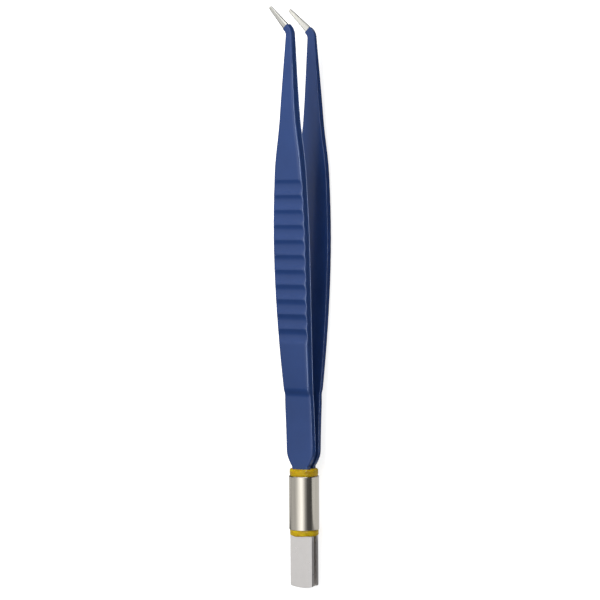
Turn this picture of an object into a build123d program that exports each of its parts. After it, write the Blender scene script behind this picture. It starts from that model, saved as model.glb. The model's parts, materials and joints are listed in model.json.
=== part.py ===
from build123d import *
import os
from math import atan2, cos, degrees, pi, radians, sin

# Bipolar forceps, in millimetres. The forceps are drawn straight first: Y runs from the ends of
# the contact blades to the tips, Z is the direction in which the arms open, X is their width.
# At the end the whole is tilted and set down as it lies on a table.

# Lengths along Y, in order from the contact ends
contact_length = 16.2
lower_collar_height = 1.8
ferrule_length = 16.75
upper_collar_height = 2.2
neck_length = 0.8
shoulder_length = 4.9
leaf_length = 17.0
ramp_length = 2.3
heel_length = 42.4
grip_length = 23.8
nose_length = 16.7
reach_length = 25.0
coat_past_bend = 0.6
bare_length = 8.85

# Bend near the tips
bend_angle = 44.5
bend_radius = 3.2

# Widths of an arm
neck_width = 5.7
leaf_width = 9.0
heel_width = 9.6
grip_width = 11.45
knuckle_width = 9.85
nose_width = 5.8
bend_width = 2.4
tip_width = 0.95
shoulder_fullness = 0.85

# Thicknesses of an arm
leaf_thickness = 2.0
heel_thickness = 2.6
grip_thickness = 3.3
bend_thickness = 2.05
tip_thickness = 0.9

# Distances from the middle plane to the inner face of an arm
root_gap = 0.75
leaf_gap = 1.85
heel_gap = 2.3
grip_gap = 5.4
crown_gap = 5.95
bend_gap = 5.85
tip_gap = 5.4

# Bevels of the long edges
grip_bevel = 0.95
nose_bevel = 0.75
bend_bevel = 0.45
leaf_bevel = 0.3
tip_bevel = 0.15
inner_bevel = 0.22

# Finger grooves, cut straight across the outer face
groove_count = 11
groove_pitch = 4.59
groove_depth = 0.68
first_crest = 2.0

# Nylon coating
coat_wall = 0.22

# Ferrule and resin
ferrule_diameter = 9.4
ferrule_wall = 0.5
ferrule_chamfer = 0.2
lower_collar_diameter = 8.95
upper_collar_diameter = 8.8
collar_round = 0.45

# Contact blades
contact_width = 7.85
contact_thickness = 1.17
contact_gap = 0.81
contact_bulge = 0.5
contact_corner = 0.7
contact_edge = 0.12
tang_width = 5.0
tang_step = 0.12

# Arm roots, which turn in the mouth of the resin
root_depth = 1.2
root_clearance = 0.1

# Numbers of sections along each stretch of an arm
shoulder_sections = 8
leaf_sections = 4
ramp_sections = 4
grip_sections = 20
crown_sections = 6
reach_sections = 8

# Places along Y, worked out from the lengths
ferrule_start = contact_length + lower_collar_height
ferrule_end = ferrule_start + ferrule_length
mouth = ferrule_end + upper_collar_height
root_axis = mouth - root_depth
neck_end = mouth + neck_length
shoulder_end = neck_end + shoulder_length
leaf_end = shoulder_end + leaf_length
heel_start = leaf_end + ramp_length
grip_centre = heel_start + heel_length
knuckle = grip_centre + grip_length
nose = knuckle + nose_length
bend_start = nose + reach_length

root_radius = leaf_thickness / 2
root_height = root_gap + root_radius

# Each curve is a list of (place, value) pairs
width_curve = [
    (mouth, neck_width),
    (neck_end, neck_width),
    (shoulder_end, leaf_width),
    (leaf_end, leaf_width),
    (heel_start, heel_width),
    (grip_centre, grip_width),
    (knuckle, knuckle_width),
    (nose, nose_width),
    (bend_start, bend_width),
]
thickness_curve = [
    (leaf_end, leaf_thickness),
    (heel_start, heel_thickness),
    (grip_centre, grip_thickness),
    (nose, grip_thickness),
    (bend_start, bend_thickness),
]
gap_curve = [
    (mouth, root_gap),
    (leaf_end, leaf_gap),
    (heel_start, heel_gap),
    (grip_centre, grip_gap),
    (knuckle, crown_gap),
    (nose, crown_gap),
    (bend_start, bend_gap),
]
bevel_curve = [
    (leaf_end, leaf_bevel),
    (heel_start, grip_bevel),
    (knuckle, grip_bevel),
    (nose, nose_bevel),
    (bend_start, bend_bevel),
]


def value_at(curve, place):
    """Value of a smooth curve at a place. The curve never overshoots its points."""
    places = [p for p, _ in curve]
    values = [v for _, v in curve]
    if place <= places[0]:
        return values[0]
    if place >= places[-1]:
        return values[-1]
    steps = [b - a for a, b in zip(places, places[1:])]
    slopes = [(b - a) / step for a, b, step in zip(values, values[1:], steps)]
    tangents = [0.0]
    for before, after in zip(slopes, slopes[1:]):
        same_way = before * after > 0
        tangents.append(2 * before * after / (before + after) if same_way else 0.0)
    tangents.append(slopes[-1])
    i = max(k for k in range(len(steps)) if places[k] <= place)
    u = (place - places[i]) / steps[i]
    rise = values[i + 1] - values[i]
    start_pull = steps[i] * tangents[i] - rise
    end_pull = rise - steps[i] * tangents[i + 1]
    return values[i] + u * rise + u * (1 - u) * ((1 - u) * start_pull + u * end_pull)


def width_at(y):
    """Width of an arm, with rounded shoulders above the neck."""
    if neck_end < y < shoulder_end:
        turn = (y - neck_end) / shoulder_length
        return neck_width + (leaf_width - neck_width) * sin(turn * pi / 2) ** shoulder_fullness
    return value_at(width_curve, y)


def outer_face(y):
    """Distance from the middle plane to the outer face of an arm."""
    return value_at(gap_curve, y) + value_at(thickness_curve, y)


def section(centre, heading, width, inner, outer, bevel, inset):
    """Eight-sided section of an arm, square to its heading, as a closed wire."""
    side = (cos(radians(heading)), sin(radians(heading)))
    half = width / 2 - inset
    low = inner + inset
    high = outer - inset
    outline = [
        (inner_bevel - half, low),
        (half - inner_bevel, low),
        (half, low + inner_bevel),
        (half, high - bevel),
        (half - bevel, high),
        (bevel - half, high),
        (-half, high - bevel),
        (-half, low + inner_bevel),
    ]
    points = [(centre[0] + u * side[0], centre[1] + u * side[1], v) for u, v in outline]
    return Wire.make_polygon(points, close=True)


def spaced(start, end, count):
    """Evenly spaced places from start up to, but not including, end."""
    return [start + (end - start) * k / count for k in range(count)]


def straight_length(inset):
    """An arm from its root to the bend."""
    places = [root_axis - root_radius, mouth]
    places += spaced(neck_end, shoulder_end, shoulder_sections)
    places += spaced(shoulder_end, leaf_end, leaf_sections)
    places += spaced(leaf_end, heel_start, ramp_sections)
    places += spaced(heel_start, knuckle, grip_sections)
    places += spaced(knuckle, nose, crown_sections)
    places += spaced(nose, bend_start, reach_sections)
    sections = []
    for y in places + [bend_start]:
        inner = value_at(gap_curve, y)
        bevel = value_at(bevel_curve, y)
        sections.append(section((0, y), 0, width_at(y), inner, outer_face(y), bevel, inset))
    return Solid.make_loft(sections, True)


def bend_section(place, heading, inset):
    """Section of the bend, which keeps one size all the way round."""
    outer = bend_gap + bend_thickness
    return section(place, heading, bend_width, bend_gap, outer, bend_bevel, inset)


def bend(inset):
    """Bend of an arm, which turns towards -X."""
    start = Face(bend_section((0, bend_start), 0, inset))
    return revolve(start, Axis((-bend_radius, bend_start, 0), (0, 0, 1)), bend_angle)


def past_bend(distance):
    """Point on the centre line past the bend."""
    turn = radians(bend_angle)
    x = -bend_radius * (1 - cos(turn)) - distance * sin(turn)
    y = bend_start + bend_radius * sin(turn) + distance * cos(turn)
    return x, y


def coated_end():
    """Short stretch of coating past the bend."""
    ends = [bend_section(past_bend(reach), bend_angle, 0) for reach in (0, coat_past_bend)]
    return Solid.make_loft(ends, True)


def steel_tip():
    """Steel past the bend, which tapers once it leaves the coating."""
    sections = [bend_section(past_bend(reach), bend_angle, coat_wall) for reach in (0, coat_past_bend)]
    end = past_bend(coat_past_bend + bare_length)
    sections.append(section(end, bend_angle, tip_width, tip_gap, tip_gap + tip_thickness, tip_bevel, 0))
    return Solid.make_loft(sections, True)


def root_section(y, inset):
    """Section of an arm's root."""
    outer = root_gap + leaf_thickness
    return section((0, y), 0, neck_width, root_gap, outer, leaf_bevel, inset)


def root_cutter(radius):
    """What lies outside the half-round end of a root."""
    below = root_axis - 2 * radius
    block = Pos(0, below, root_height) * Box(2 * neck_width, 4 * radius, 4 * radius)
    rod = Rot(Y=90) * Cylinder(radius, 2 * neck_width)
    return block - Pos(0, root_axis, root_height) * rod


def crests():
    """Places of the crests on both sides of each finger groove."""
    return [knuckle - first_crest - k * groove_pitch for k in range(groove_count + 1)]


def grooves(extra):
    """Rods that cut the finger grooves, larger by extra."""
    radius = (groove_pitch**2 / 4 + groove_depth**2) / (2 * groove_depth)
    rods = []
    for crest in crests()[:-1]:
        y = crest - groove_pitch / 2
        z = outer_face(y) + radius - groove_depth
        rods.append(Pos(0, y, z) * Rot(Y=90) * Cylinder(radius + extra, 2 * grip_width))
    return rods


def arm_and_coating():
    """Steel and coating of the upper arm."""
    cutter = root_cutter(root_radius)
    body = straight_length(0) - cutter - grooves(0) + bend(0) + coated_end()
    steel = straight_length(coat_wall) - cutter - grooves(coat_wall) + bend(coat_wall) + steel_tip()
    return steel, body - steel


def contact():
    """Upper contact blade, with a smaller tang in the resin that ends under the arm's root."""
    half = contact_width / 2
    corners = [(half, contact_bulge), (half, contact_length)]
    corners += [(-half, contact_length), (-half, contact_bulge)]
    end = ThreePointArc((-half, contact_bulge), (0, 0), (half, contact_bulge))
    outline = make_face(Curve() + [Polyline(*corners), end])
    outline = fillet(outline.vertices().group_by(Axis.Y)[0], contact_corner)
    blade = Pos(0, 0, contact_gap) * extrude(outline, contact_thickness)
    rims = blade.edges().group_by(Axis.Z)
    blade = chamfer(rims[0] + rims[-1], contact_edge)
    tang_length = root_axis - contact_length
    tang = Box(tang_width, tang_length, contact_thickness - 2 * tang_step)
    tang = Pos(0, contact_length + tang_length / 2, contact_gap + contact_thickness / 2) * tang
    return blade + tang - root_pocket()


def root_pocket():
    """Room that an arm's root turns in."""
    radius = root_radius + root_clearance
    ends = [root_section(y, -root_clearance) for y in (root_axis - radius, mouth + root_depth)]
    return Solid.make_loft(ends, True) - root_cutter(radius)


def turned(points):
    """Solid of revolution about the Y axis from an outline of (radius, place) points."""
    outline = make_face(Polyline(*points, close=True))
    return revolve(outline, Axis.Y)


def ferrule():
    """Stainless tube with a small chamfer on both outer edges."""
    radius = ferrule_diameter / 2
    bore = radius - ferrule_wall
    return turned([
        (bore, ferrule_start),
        (radius - ferrule_chamfer, ferrule_start),
        (radius, ferrule_start + ferrule_chamfer),
        (radius, ferrule_end - ferrule_chamfer),
        (radius - ferrule_chamfer, ferrule_end),
        (bore, ferrule_end),
    ])


def resin_plug(contacts):
    """Resin that fills the ferrule and stands out at both ends as a collar."""
    bore = ferrule_diameter / 2 - ferrule_wall
    lower = lower_collar_diameter / 2
    upper = upper_collar_diameter / 2
    plug = turned([
        (0, contact_length),
        (lower, contact_length),
        (lower, ferrule_start),
        (bore, ferrule_start),
        (bore, ferrule_end),
        (upper, ferrule_end),
        (upper, mouth),
        (0, mouth),
    ])
    rims = plug.edges().filter_by(GeomType.CIRCLE).group_by(Axis.Y)
    plug = fillet(rims[0] + rims[-1], collar_round)
    pocket = root_pocket()
    return plug - contacts - pocket - mirror(pocket, Plane.XY)


def rest_tilt():
    """Angle at which the ferrule's heel and the lower arm's crown touch the table together."""
    heel = ferrule_start + ferrule_chamfer
    places = crests() + spaced(knuckle, nose, crown_sections)
    slopes = [(outer_face(y) - ferrule_diameter / 2) / (y - heel) for y in places]
    return degrees(atan2(max(slopes), 1))


upper_arm, upper_coating = arm_and_coating()
upper_contact = contact()
lower_contact = mirror(upper_contact, Plane.XY)
parts = {
    "upper_arm": upper_arm,
    "upper_arm_coating": upper_coating,
    "lower_arm": mirror(upper_arm, Plane.XY),
    "lower_arm_coating": mirror(upper_coating, Plane.XY),
    "upper_contact": upper_contact,
    "lower_contact": lower_contact,
    "ferrule": ferrule(),
    "resin_plug": resin_plug([upper_contact, lower_contact]),
}

# Laid down on the table, with the origin under the middle of the whole
lying = {name: Rot(X=rest_tilt()) * solid for name, solid in parts.items()}
box = Compound(list(lying.values())).bounding_box()
middle = box.center()
set_down = Pos(-middle.X, -middle.Y, -box.min.Z)

os.makedirs("parts", exist_ok=True)
for name, solid in lying.items():
    export_step(set_down * solid, f"parts/{name}.step")

for label, height in (("upper", root_height), ("lower", -root_height)):
    hinge = set_down * Rot(X=rest_tilt()) * Pos(0, root_axis, height)
    print(label, "hinge at", [round(v, 4) for v in hinge.position])
print("rest tilt", round(rest_tilt(), 4))
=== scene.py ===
import json
from math import atan2, ceil, cos, degrees, hypot, pi, radians, sin

import bmesh
import bpy
from mathutils import Matrix, Vector, noise
from mathutils.bvhtree import BVHTree

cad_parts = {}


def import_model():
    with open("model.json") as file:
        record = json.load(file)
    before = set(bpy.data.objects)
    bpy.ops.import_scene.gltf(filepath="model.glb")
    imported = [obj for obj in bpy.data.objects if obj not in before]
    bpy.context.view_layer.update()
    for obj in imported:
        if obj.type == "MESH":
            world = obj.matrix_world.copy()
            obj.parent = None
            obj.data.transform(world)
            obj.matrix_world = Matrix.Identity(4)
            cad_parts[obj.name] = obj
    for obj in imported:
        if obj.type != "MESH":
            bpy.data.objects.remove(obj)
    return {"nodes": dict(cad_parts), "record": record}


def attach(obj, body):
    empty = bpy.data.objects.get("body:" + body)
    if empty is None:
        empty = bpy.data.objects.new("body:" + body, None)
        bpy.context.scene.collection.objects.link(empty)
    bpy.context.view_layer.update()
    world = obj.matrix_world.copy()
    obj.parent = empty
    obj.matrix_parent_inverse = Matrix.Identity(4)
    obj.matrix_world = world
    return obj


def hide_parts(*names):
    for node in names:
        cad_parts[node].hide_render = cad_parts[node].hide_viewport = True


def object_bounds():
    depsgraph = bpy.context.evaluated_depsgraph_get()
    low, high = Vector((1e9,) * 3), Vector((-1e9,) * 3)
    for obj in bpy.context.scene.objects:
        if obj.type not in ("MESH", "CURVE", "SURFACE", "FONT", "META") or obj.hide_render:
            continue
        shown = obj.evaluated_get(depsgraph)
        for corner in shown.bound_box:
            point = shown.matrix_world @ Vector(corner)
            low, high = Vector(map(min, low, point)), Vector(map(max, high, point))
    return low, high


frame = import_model()
cad_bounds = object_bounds()
scene = bpy.context.scene
mm = 0.001

# Frame of the forceps before they are laid down, in millimetres. Y runs from the contact ends to
# the tips, Z is the direction in which the arms open, X is their width, and the origin is between
# the contact ends.
mounts = {m["name"]: m for m in frame["record"]["mounts"]}
origin = Vector(mounts["flat_plug"]["pos_m"])
along = -Vector(mounts["flat_plug"]["axis"])
opening = Vector(mounts["upper_contact_face"]["axis"])
across = along.cross(opening)
to_world = Matrix.Translation(origin) @ Matrix((across, along, opening)).transposed().to_4x4()
to_world = to_world @ Matrix.Scale(mm, 4)
to_local = to_world.inverted()

# Route of an arm's centre line, in millimetres
bend_start = 169.85
bend_radius = 3.2
bend_angle = radians(44.5)
coat_past_bend = 0.6


def local_points(node):
    """Corners of a node's mesh in the frame of the forceps, in millimetres."""
    return [to_local @ v.co for v in frame["nodes"][node].data.vertices]


def reach(points, axis):
    """Lowest and highest place of points along an axis."""
    places = [p[axis] for p in points]
    return min(places), max(places)


def ring_mesh(name, rings):
    """Closed smooth mesh through rings of points in millimetres, capped at both ends."""
    made = bmesh.new()
    loops = [[made.verts.new(to_world @ p) for p in ring] for ring in rings]
    count = len(rings[0])
    for lower, upper in zip(loops, loops[1:]):
        for k in range(count):
            after = (k + 1) % count
            made.faces.new((lower[k], lower[after], upper[after], upper[k]))
    made.faces.new(list(reversed(loops[0])))
    made.faces.new(loops[-1])
    bmesh.ops.recalc_face_normals(made, faces=made.faces)
    for face in made.faces:
        face.smooth = True
    data = bpy.data.meshes.new(name)
    made.to_mesh(data)
    made.free()
    return data


def stand_in(name, rings, body, surface, node):
    """Piece through rings of points that rides on a body and replaces the solid of a node."""
    data = ring_mesh(name, rings)
    data.materials.append(surface)
    piece = bpy.data.objects.new(name, data)
    scene.collection.objects.link(piece)
    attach(piece, body)
    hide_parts(node)


# Materials

# Range that most of a noise lies in
noise_low = 0.3
noise_high = 0.7


def node_material(name):
    """Node material, with its tree and its Principled shader."""
    made = bpy.data.materials.new(name)
    made.use_nodes = True
    tree = made.node_tree
    return made, tree, tree.nodes["Principled BSDF"]


def noise_at(tree, scale, detail=3.0, roughness=0.55, stretch=(1, 1, 1)):
    """Noise in the object's own metres, stretched along its axes."""
    place = tree.nodes.new("ShaderNodeTexCoord")
    mapping = tree.nodes.new("ShaderNodeMapping")
    mapping.inputs["Scale"].default_value = stretch
    made = tree.nodes.new("ShaderNodeTexNoise")
    made.inputs["Scale"].default_value = scale
    made.inputs["Detail"].default_value = detail
    made.inputs["Roughness"].default_value = roughness
    tree.links.new(place.outputs["Object"], mapping.inputs["Vector"])
    tree.links.new(mapping.outputs["Vector"], made.inputs["Vector"])
    return made.outputs["Fac"]


def ramp(tree, factor, *stops):
    """Colour ramp over a factor, with stops of (place, colour)."""
    made = tree.nodes.new("ShaderNodeValToRGB")
    elements = made.color_ramp.elements
    while len(elements) < len(stops):
        elements.new(0.5)
    for element, (place, colour) in zip(elements, stops):
        element.position = place
        element.color = (*colour, 1)
    tree.links.new(factor, made.inputs["Fac"])
    return made.outputs["Color"]


def spread(tree, factor, low, high):
    """Noise turned into a value that mostly lies between low and high."""
    made = tree.nodes.new("ShaderNodeMapRange")
    made.inputs["From Min"].default_value = noise_low
    made.inputs["From Max"].default_value = noise_high
    made.inputs["To Min"].default_value = low
    made.inputs["To Max"].default_value = high
    tree.links.new(factor, made.inputs["Value"])
    return made.outputs["Result"]


def bump(tree, shader, factor, depth):
    """Fine relief on a shader, with its depth in metres."""
    made = tree.nodes.new("ShaderNodeBump")
    made.inputs["Strength"].default_value = 1.0
    made.inputs["Distance"].default_value = depth
    tree.links.new(factor, made.inputs["Height"])
    tree.links.new(made.outputs["Normal"], shader.inputs["Normal"])


def shade(colour, factor):
    """Colour made darker or lighter by a factor."""
    return tuple(min(1.0, c * factor) for c in colour)


def varied(tree, shader, colour, scale, amount, stretch=(1, 1, 1)):
    """Base colour that drifts a little darker and lighter over the surface."""
    darker = noise_low, shade(colour, 1 - amount)
    lighter = noise_high, shade(colour, 1 + amount)
    drift = noise_at(tree, scale, stretch=stretch)
    tree.links.new(ramp(tree, drift, darker, lighter), shader.inputs["Base Color"])


def nylon_material():
    """Satin blue nylon with a faint orange peel."""
    made, tree, shader = node_material("blue_nylon")
    varied(tree, shader, colour=(0.022, 0.064, 0.232), scale=60, amount=0.08)
    shader.inputs["Specular IOR Level"].default_value = 0.52
    roughness = spread(tree, noise_at(tree, 300), low=0.19, high=0.26)
    tree.links.new(roughness, shader.inputs["Roughness"])
    bump(tree, shader, noise_at(tree, 2200, detail=2.0), depth=0.000003)
    return made


def metal_material(name, colour, roughness, grain_scale, grain_depth, stretch=(1, 1, 1), drift=0.06):
    """Metal with a grain that can be drawn out along one axis."""
    made, tree, shader = node_material(name)
    shader.inputs["Metallic"].default_value = 1.0
    varied(tree, shader, colour, grain_scale / 2, drift, stretch)
    grain = noise_at(tree, grain_scale, detail=4.0, stretch=stretch)
    uneven = spread(tree, grain, low=roughness * 0.85, high=roughness * 1.15)
    tree.links.new(uneven, shader.inputs["Roughness"])
    bump(tree, shader, grain, grain_depth)
    return made


def resin_material():
    """Poured amber resin with uneven colour and gloss."""
    made, tree, shader = node_material("yellow_resin")
    shader.inputs["Subsurface Weight"].default_value = 0.2
    shader.inputs["Subsurface Radius"].default_value = (0.0012, 0.0006, 0.0001)
    shader.inputs["Subsurface Scale"].default_value = 1.0
    shader.inputs["Specular IOR Level"].default_value = 0.25
    amber = 0.30, (0.52, 0.31, 0.001)
    yellow = 0.52, (0.72, 0.48, 0.001)
    pale = 0.70, (0.82, 0.60, 0.002)
    clouds = noise_at(tree, 420)
    tree.links.new(ramp(tree, clouds, amber, yellow, pale), shader.inputs["Base Color"])
    roughness = spread(tree, noise_at(tree, 900), low=0.22, high=0.40)
    tree.links.new(roughness, shader.inputs["Roughness"])
    bump(tree, shader, noise_at(tree, 900, detail=2.0), depth=0.00005)
    return made


nylon = nylon_material()
yellow_resin = resin_material()
bare_steel = metal_material(
    "bare_steel",
    colour=(0.95, 0.94, 0.88),
    roughness=0.28,
    grain_scale=1500,
    grain_depth=0.000004,
    stretch=(1, 0.15, 1),
)
contact_metal = metal_material(
    "contact_metal",
    colour=(0.96, 0.93, 0.91),
    roughness=0.32,
    grain_scale=900,
    grain_depth=0.000001,
    drift=0.02,
)
ferrule_steel = metal_material(
    "ferrule_steel",
    colour=(0.68, 0.64, 0.565),
    roughness=0.14,
    grain_scale=1500,
    grain_depth=0.0000015,
    stretch=(1, 0.03, 1),
)

surfaces = {
    "upper_arm": bare_steel,
    "lower_arm": bare_steel,
    "upper_contact": contact_metal,
    "lower_contact": contact_metal,
    "ferrule": ferrule_steel,
}
for node, surface in surfaces.items():
    materials = frame["nodes"][node].data.materials
    materials.clear()
    materials.append(surface)


# Nylon coatings, measured off their solids and given soft edges

ring_step = 0.2
root_inside = 1.0
coat_end_inset = 0.02

# Soft outer edges, as multiples of the solid's bevel, and the least and most of the half width
edge_breadth = 1.45
edge_depth = 1.37
least_edge_share = 0.25
most_edge_share = 0.7
edge_points = 15
crest_softness = 0.32

# Moulded lip along the inner edge, with a slanted facet up to the side wall
lip_out = 0.10
lip_low = 0.10
lip_round = 0.02
lip_height = 0.27
wall_in = 0.05
facet_parts = (0.06, 0.2, 0.8, 0.94)

# Stretch with finger grooves, and the bevel of its crests
grooves_start = 75.5
grooves_end = 127.5
grip_bevel = 0.93

# The skin stands a little wider over the flat root of an arm: (place, how much on each side)
fullness = ((37.0, 0.0), (41.0, 0.2), (57.0, 0.2), (62.0, 0.0))

# Rim at the end of a coating, as (distance past the last station, how far it has drawn in)
rim = (
    (-0.5, 0.0),
    (-0.25, 0.02),
    (0.0, 0.07),
    (0.1, 0.14),
    (0.12, 0.25),
    (0.05, 0.34),
    (-1.0, 0.36),
)


class Solid:
    """A node's solid, measured by rays in the frame of the forceps."""

    def __init__(self, node, outward):
        mesh_data = frame["nodes"][node].data
        corners = [v.co for v in mesh_data.vertices]
        self.tree = BVHTree.FromPolygons(corners, [tuple(p.vertices) for p in mesh_data.polygons])
        self.outward = outward

    def point(self, station, sideways, height):
        """Point of a section, by its distance sideways and from the middle plane."""
        x, y, heading = station
        x += sideways * cos(heading)
        y += sideways * sin(heading)
        return Vector((x, y, self.outward * height))

    def hit(self, station, start, end):
        """Place where a ray within a section first meets the solid."""
        first = to_world @ self.point(station, *start)
        last = to_world @ self.point(station, *end)
        found = self.tree.ray_cast(first, (last - first).normalized())[0]
        x, y, heading = station
        away = to_local @ found - Vector((x, y, 0))
        return away.x * cos(heading) + away.y * sin(heading), away.z * self.outward


def coat_section(solid, station):
    """Half width, inner face, top of the side wall and outer face of a coating at a station."""
    # Rays start far outside, meet the wall a little above its foot and the bevel just off its edge
    far = 30
    wall_height = 0.6
    off_edge = 0.08
    inner = solid.hit(station, (0, 0), (0, far))[1]
    top = solid.hit(station, (0, far), (0, 0))[1]
    half = solid.hit(station, (far, inner + wall_height), (0, inner + wall_height))[0]
    slope = solid.hit(station, (half - off_edge, far), (half - off_edge, 0))[1]
    return half, inner, slope - off_edge, top


def arc(centre_u, centre_v, radius, start, end, count):
    """Points on an arc of a section, both ends included."""
    angles = [radians(start + (end - start) * k / (count - 1)) for k in range(count)]
    return [(centre_u + radius * cos(a), centre_v + radius * sin(a)) for a in angles]


def soft_least(a, b, softness):
    """The lesser of two heights, with the corner between them rounded."""
    near = max(softness - abs(a - b), 0) / softness
    return min(a, b) - near * near * softness / 4


def coat_outline(half, inner, corner, top, bevel):
    """Outline of a coating's section, with soft edges, as points (sideways, height)."""
    breadth = max(edge_breadth * bevel, least_edge_share * half)
    breadth = min(breadth, most_edge_share * half)
    depth = edge_depth * bevel
    full = corner + bevel
    wall = half - wall_in
    lip = half + lip_out
    right = [(half - lip_height, inner), (half - lip_round, inner + lip_round), (lip, inner + lip_low)]
    facet_start = inner + lip_low + lip_round
    facet_rise = lip_height - lip_low - 2 * lip_round
    right += [(lip + (wall - lip) * part, facet_start + facet_rise * part) for part in facet_parts]
    right += [(wall, inner + lip_height)]
    quarter = arc(0, 0, 1, 0, 90, edge_points)
    right += [(wall - breadth * (1 - u), full - depth * (1 - v)) for u, v in quarter]
    right += [((wall - breadth) / 2, full)]
    # Grooves cut the section off from above
    edge_start = corner - bevel
    right = [(u, soft_least(v, top, crest_softness) if v > edge_start else v) for u, v in right]
    left = [(-u, v) for u, v in reversed(right)]
    return right + [(0, right[-1][1])] + left + [(0, inner)]


def stepped(table, place):
    """Value at a place, in straight steps between the (place, value) pairs of a table."""
    if place <= table[0][0]:
        return table[0][1]
    for (low, a), (high, b) in zip(table, table[1:]):
        if place <= high:
            return a + (b - a) * (place - low) / (high - low)
    return table[-1][1]


def softened(values, passes):
    """Values with each one drawn a little towards its neighbours."""
    for _ in range(passes):
        middle = [(a + 2 * b + c) / 4 for a, b, c in zip(values, values[1:], values[2:])]
        values = [values[0], *middle, values[-1]]
    return values


def along_heading(station, distance):
    """Station moved on by a distance along its own heading."""
    x, y, heading = station
    return x - distance * sin(heading), y + distance * cos(heading), heading


def coat_route(start):
    """Stations (x, y, heading) along an arm, from its root to the end of its coating."""
    length = bend_start - start
    count = ceil(length / ring_step)
    route = [(0, start + length * k / count, 0) for k in range(count)]
    turns = 16
    for k in range(turns + 1):
        heading = bend_angle * k / turns
        x = bend_radius * (cos(heading) - 1)
        y = bend_start + bend_radius * sin(heading)
        route.append((x, y, heading))
    route.append(along_heading(route[-1], coat_past_bend - coat_end_inset))
    return route


def coating(node, body, outward):
    """Smooth nylon skin in place of a coating's solid."""
    solid = Solid(node, outward)
    start = reach(local_points(node), 1)[0] + root_inside
    route = coat_route(start)
    measured = [coat_section(solid, station) for station in route]
    bevels = [top - corner for _, _, corner, top in measured]
    # A groove cuts the bevel away, so along the grip it is taken from the crests
    for k, (_, y, _) in enumerate(route):
        if grooves_start < y < grooves_end:
            bevels[k] = grip_bevel
    bevels = softened(bevels, passes=6)
    tops = softened([top for _, _, _, top in measured], passes=2)
    rings = []
    for station, (half, inner, corner, _), top, bevel in zip(route[:-1], measured, tops, bevels):
        half += stepped(fullness, station[1])
        outline = coat_outline(half, inner, corner, top, bevel)
        rings.append([solid.point(station, u, v) for u, v in outline])
    # The rim draws in to the steel and closes inside it
    half, inner, corner, top = measured[-1]
    middle = (inner + top) / 2
    outline = coat_outline(half, inner, corner, top, bevels[-1])
    for distance, drawn_in in rim:
        station = along_heading(route[-1], distance)
        narrower = 1 - drawn_in / half
        lower = 1 - drawn_in / (top - middle)
        drawn = [(u * narrower, middle + (v - middle) * lower) for u, v in outline]
        rings.append([solid.point(station, u, v) for u, v in drawn])
    stand_in(node + "_skin", rings, body, nylon, node)


coating("upper_arm_coating", "upper_arm", outward=1)
coating("lower_arm_coating", "lower_arm", outward=-1)


# Resin, poured by hand, so its collars are a little uneven

collar_round = 0.5
collar_segments = 120
off_ferrule = 0.1
bore_inset = 0.02

# Places of rings on the straight of a collar: above the resin's foot and above the ferrule
lower_collar_place = 0.95
upper_collar_places = (0.6, 1.15)

# Unevenness: share of the radius, height, and distance from the ferrule where it is full
swell_share = 0.030
lift_height = 0.22
full_unevenness = 0.7
lump_scale = 1.6
lump_height_scale = 0.55
lift_scale = 1.3
lift_shift = Vector((7, 3, 1))

ferrule_points = local_points("ferrule")
resin_points = local_points("resin_plug")
ferrule_start, ferrule_end = reach(ferrule_points, 1)
resin_start, resin_end = reach(resin_points, 1)


def radius_between(points, low, high):
    """Largest distance from the axis of points between two places along Y."""
    return max(hypot(p.x, p.z) for p in points if low <= p.y <= high)


def resin_profile(lower, upper):
    """Outline of the resin from its foot to its top, as (radius, place), from the collars' radii."""
    bore = min(hypot(p.x, p.z) for p in ferrule_points) - bore_inset
    foot = lower - collar_round
    head = upper - collar_round
    profile = [(foot * k / 4, resin_start) for k in range(1, 4)]
    profile += arc(foot, resin_start + collar_round, collar_round, -90, 0, 7)
    profile += [(lower, resin_start + lower_collar_place), (lower, ferrule_start)]
    profile += [(bore, ferrule_start + (ferrule_end - ferrule_start) * k / 6) for k in range(7)]
    profile += [(upper, ferrule_end)]
    profile += [(upper, ferrule_end + place) for place in upper_collar_places]
    profile += arc(head, resin_end - collar_round, collar_round, 0, 90, 7)
    profile += [(head * k / 6, resin_end) for k in range(5, 0, -1)]
    return profile


def resin():
    """Resin plug with its two collars."""
    lower = radius_between(resin_points, resin_start, ferrule_start - off_ferrule)
    upper = radius_between(resin_points, ferrule_end + off_ferrule, resin_end)
    rings = []
    for radius, place in resin_profile(lower, upper):
        outside = max(ferrule_start - place, place - ferrule_end, 0)
        free = min(outside / full_unevenness, 1)
        ring = []
        for k in range(collar_segments):
            turn = 2 * pi * k / collar_segments
            spot = Vector((cos(turn) * lump_scale, sin(turn) * lump_scale, place * lump_height_scale))
            swell = 1 + free * swell_share * noise.noise(spot)
            lift = free * lift_height * noise.noise(spot * lift_scale + lift_shift)
            y = place + lift * min(radius / upper, 1) ** 2
            ring.append(Vector((radius * swell * sin(turn), y, radius * swell * cos(turn))))
        rings.append(ring)
    stand_in("resin_collars", rings, "connector", yellow_resin, "resin_plug")


resin()


# Studio: white floor, a soft lamp above, and a tent and cards that only reflections see

# Light that the floor adds where the camera looks at it, which keeps the shadow faint
floor_glow = 0.80
floor_size = 8.0

# Painted reflection of the floor: the brightness that reflections see there in place of its own light
# and shade, with painted shade beside the arms and lighter stretches where the contacts, the ferrule
# and the tips see it, as (place along Y in metres, strength)
floor_painted_reflection = (
    (-0.0755, 0.20),
    (-0.0720, 0.66),
    (-0.0560, 0.66),
    (-0.0500, 0.03),
    (0.0830, 0.03),
    (0.0845, 0.22),
    (0.0895, 0.22),
    (0.0905, 0.03),
)
painted_reflection_reach = 0.1

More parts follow.
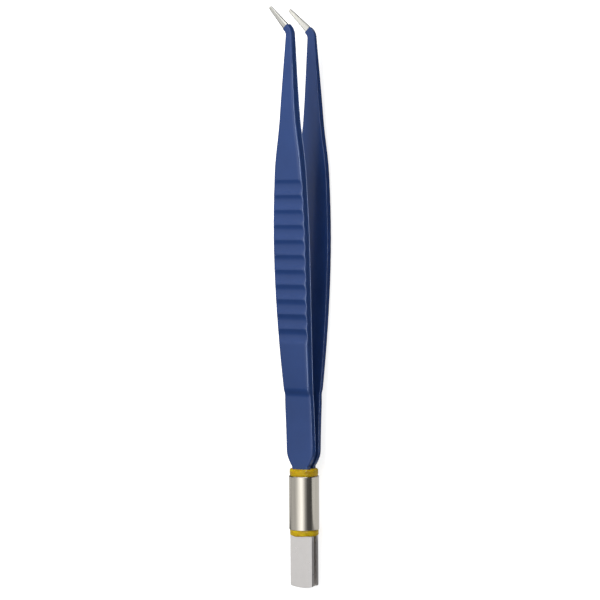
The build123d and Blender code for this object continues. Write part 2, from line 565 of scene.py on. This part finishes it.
# Light of the tent, as (degrees from straight up towards +X, strength)
tent_light = (
    (-90, 0.46),
    (-62, 0.56),
    (-50, 0.50),
    (-38, 0.54),
    (-26, 0.72),
    (-8, 1.25),
    (6, 1.62),
    (16, 1.55),
    (28, 0.95),
    (39, 0.40),
    (55, 0.09),
    (90, 0.07),
)
tent_radius = 1.6
tent_half_length = 3.0
tent_steps = 90

# The tent fades out far past the contacts: places along Y in metres, then the strengths there
tent_fade = (-0.95, -0.50, 0.12, 1.0)

# Strength of the world for everything but what looks at it or mirrors it
world_fill = 0.33

# Cards, by their corners in metres
low_card = (
    (0.0092, 0.055, 0.0002),
    (0.0110, 0.055, 0.0002),
    (0.0084, -0.050, 0.0002),
    (0.0066, -0.050, 0.0002),
)
side_card = (
    (0.026, 0.078, 0.038),
    (0.0335, 0.078, 0.026),
    (0.0335, -0.0535, 0.026),
    (0.026, -0.0535, 0.038),
)
tip_card = (
    (-0.0160, 0.092, 0.0195),
    (-0.0092, 0.092, 0.0195),
    (-0.0092, 0.078, 0.0195),
    (-0.0160, 0.078, 0.0195),
)
pale_blue = (0.78, 0.88, 1)
warm_white = (1, 0.98, 0.95)


def flat_mesh(name, corners):
    """Mesh of one face."""
    data = bpy.data.meshes.new(name)
    data.from_pydata(corners, [], [tuple(range(len(corners)))])
    return data


def staged(name, data, surface):
    """Piece of the studio."""
    data.materials.append(surface)
    piece = bpy.data.objects.new(name, data)
    scene.collection.objects.link(piece)
    return piece


def only_reflected(piece):
    """Hides a piece from all but reflections."""
    piece.visible_camera = False
    piece.visible_diffuse = False
    piece.visible_shadow = False
    piece.visible_transmission = False


def glow_material(name):
    """Material that only shines, with its tree and its emission."""
    made = bpy.data.materials.new(name)
    made.use_nodes = True
    tree = made.node_tree
    tree.nodes.remove(tree.nodes["Principled BSDF"])
    glow = tree.nodes.new("ShaderNodeEmission")
    tree.links.new(glow.outputs[0], tree.nodes["Material Output"].inputs["Surface"])
    return made, tree, glow


def place_along_y(tree, low, high, low_value=0.0, high_value=1.0):
    """Value that goes from one to another between two places along the object's Y."""
    place = tree.nodes.new("ShaderNodeTexCoord")
    axes = tree.nodes.new("ShaderNodeSeparateXYZ")
    tree.links.new(place.outputs["Object"], axes.inputs["Vector"])
    made = tree.nodes.new("ShaderNodeMapRange")
    made.inputs["From Min"].default_value = low
    made.inputs["From Max"].default_value = high
    made.inputs["To Min"].default_value = low_value
    made.inputs["To Max"].default_value = high_value
    tree.links.new(axes.outputs["Y"], made.inputs["Value"])
    return made.outputs["Result"]


def light_path(tree, *rays):
    """1 for the named kinds of ray, 0 for others."""
    path = tree.nodes.new("ShaderNodeLightPath")
    total = path.outputs[rays[0]]
    for ray in rays[1:]:
        either = tree.nodes.new("ShaderNodeMath")
        either.operation = "MAXIMUM"
        tree.links.new(total, either.inputs[0])
        tree.links.new(path.outputs[ray], either.inputs[1])
        total = either.outputs[0]
    return total


def floor():
    """Large white floor. What looks at it sees it white, with the object's shadow; reflections see
    painted light and shade instead.
    """
    half = floor_size / 2
    corners = [(-half, -half, 0), (half, -half, 0), (half, half, 0), (-half, half, 0)]
    made, tree, shader = node_material("floor_white")
    shader.inputs["Base Color"].default_value = (0.75, 0.75, 0.75, 1)
    shader.inputs["Roughness"].default_value = 1.0
    shader.inputs["Specular IOR Level"].default_value = 0.0
    glow = tree.nodes.new("ShaderNodeEmission")
    looked_at = tree.nodes.new("ShaderNodeMath")
    looked_at.operation = "MULTIPLY"
    looked_at.inputs[1].default_value = floor_glow
    tree.links.new(light_path(tree, "Is Camera Ray"), looked_at.inputs[0])
    tree.links.new(looked_at.outputs[0], glow.inputs["Strength"])
    seen = tree.nodes.new("ShaderNodeAddShader")
    tree.links.new(shader.outputs[0], seen.inputs[0])
    tree.links.new(glow.outputs[0], seen.inputs[1])
    # Reflections see painted stretches of light and shade along Y instead of the lit floor
    mirrored = tree.nodes.new("ShaderNodeEmission")
    stretch = place_along_y(tree, -painted_reflection_reach, painted_reflection_reach)
    stops = [((y / painted_reflection_reach + 1) / 2, (level,) * 3) for y, level in floor_painted_reflection]
    tree.links.new(ramp(tree, stretch, *stops), mirrored.inputs["Color"])
    either = tree.nodes.new("ShaderNodeMixShader")
    tree.links.new(light_path(tree, "Is Glossy Ray"), either.inputs["Fac"])
    tree.links.new(seen.outputs[0], either.inputs[1])
    tree.links.new(mirrored.outputs[0], either.inputs[2])
    tree.links.new(either.outputs[0], tree.nodes["Material Output"].inputs["Surface"])
    staged("floor", flat_mesh("floor", corners), made)


def tent():
    """Half pipe over the object, bright above and dark to the camera's side."""
    ends = (-tent_half_length, tent_half_length)
    made = bmesh.new()
    colour = made.loops.layers.float_color.new("light")
    rows = []
    for k in range(tent_steps + 1):
        angle = radians(-90 + 180 * k / tent_steps)
        x = tent_radius * sin(angle)
        z = tent_radius * cos(angle)
        rows.append([made.verts.new((x, y, z)) for y in ends])
    for a, b in zip(rows, rows[1:]):
        made.faces.new((a[0], a[1], b[1], b[0]))
    for face in made.faces:
        for loop in face.loops:
            angle = degrees(atan2(loop.vert.co.x, loop.vert.co.z))
            level = stepped(tent_light, angle)
            loop[colour] = (level, level, level, 1)
    data = bpy.data.meshes.new("tent")
    made.to_mesh(data)
    made.free()
    surface, tree, glow = glow_material("tent_light")
    light = tree.nodes.new("ShaderNodeAttribute")
    light.attribute_name = "light"
    tree.links.new(light.outputs["Color"], glow.inputs["Color"])
    tree.links.new(place_along_y(tree, *tent_fade), glow.inputs["Strength"])
    only_reflected(staged("tent", data, surface))


def card(name, corners, colour, strength):
    """Card that only reflections see."""
    surface, _, glow = glow_material(name)
    glow.inputs["Color"].default_value = (*colour, 1)
    glow.inputs["Strength"].default_value = strength
    only_reflected(staged(name, flat_mesh(name, corners), surface))


def world():
    """White where it is looked at or mirrored, and a weak even light for the rest."""
    made = bpy.data.worlds.new("studio")
    made.use_nodes = True
    tree = made.node_tree
    background = tree.nodes["Background"]
    background.inputs["Color"].default_value = (1, 1, 1, 1)
    seen = light_path(tree, "Is Camera Ray", "Is Glossy Ray", "Is Transmission Ray")
    strength = tree.nodes.new("ShaderNodeMapRange")
    strength.inputs["To Min"].default_value = world_fill
    strength.inputs["To Max"].default_value = 1.0
    tree.links.new(seen, strength.inputs["Value"])
    tree.links.new(strength.outputs["Result"], background.inputs["Strength"])
    scene.world = made


def lamp(name, place, aim, size, power):
    """Square area lamp that gives soft light and isn't itself reflected."""
    data = bpy.data.lights.new(name, "AREA")
    data.shape = "SQUARE"
    data.size = size
    data.energy = power
    made = bpy.data.objects.new(name, data)
    made.location = place
    made.rotation_mode = "QUATERNION"
    made.rotation_quaternion = (Vector(place) - Vector(aim)).to_track_quat("Z", "Y")
    made.visible_glossy = False
    scene.collection.objects.link(made)


floor()
tent()
card("low_card", low_card, pale_blue, strength=0.3)
card("side_card", side_card, pale_blue, strength=6.5)
card("tip_card", tip_card, warm_white, strength=0.9)
world()
object_centre = (cad_bounds[0] + cad_bounds[1]) / 2
lamp("soft_lamp", place=(-0.08, 0.26, 0.50), aim=object_centre, size=0.35, power=1.9)


# Camera, placed in the frame of the forceps

camera_turn = radians(30.31)
camera_rise = radians(2.72)
camera_roll = radians(-0.342)
camera_distance = 638.9
camera_target = Vector((-1.03, 89.076, 0))
camera_lens = 124.2
sensor_width = 36


def camera():
    """Camera at the photograph's viewing angle."""
    level_back = cos(camera_rise)
    back = Vector((sin(camera_turn) * level_back, sin(camera_rise), cos(camera_turn) * level_back))
    level = (-back).cross(Vector((0, 1, 0))).normalized()
    upright = level.cross(-back)
    right = level * cos(camera_roll) + upright * sin(camera_roll)
    up = upright * cos(camera_roll) - level * sin(camera_roll)
    turn = to_world.to_3x3().normalized() @ Matrix((right, up, back)).transposed()
    place = to_world @ (camera_target + back * camera_distance)
    data = bpy.data.cameras.new("camera")
    data.lens = camera_lens
    data.sensor_width = sensor_width
    data.clip_start = 0.01
    data.clip_end = 50
    made = bpy.data.objects.new("camera", data)
    made.matrix_world = Matrix.Translation(place) @ turn.to_4x4()
    scene.collection.objects.link(made)
    scene.camera = made


camera()
scene.view_settings.view_transform = "Standard"
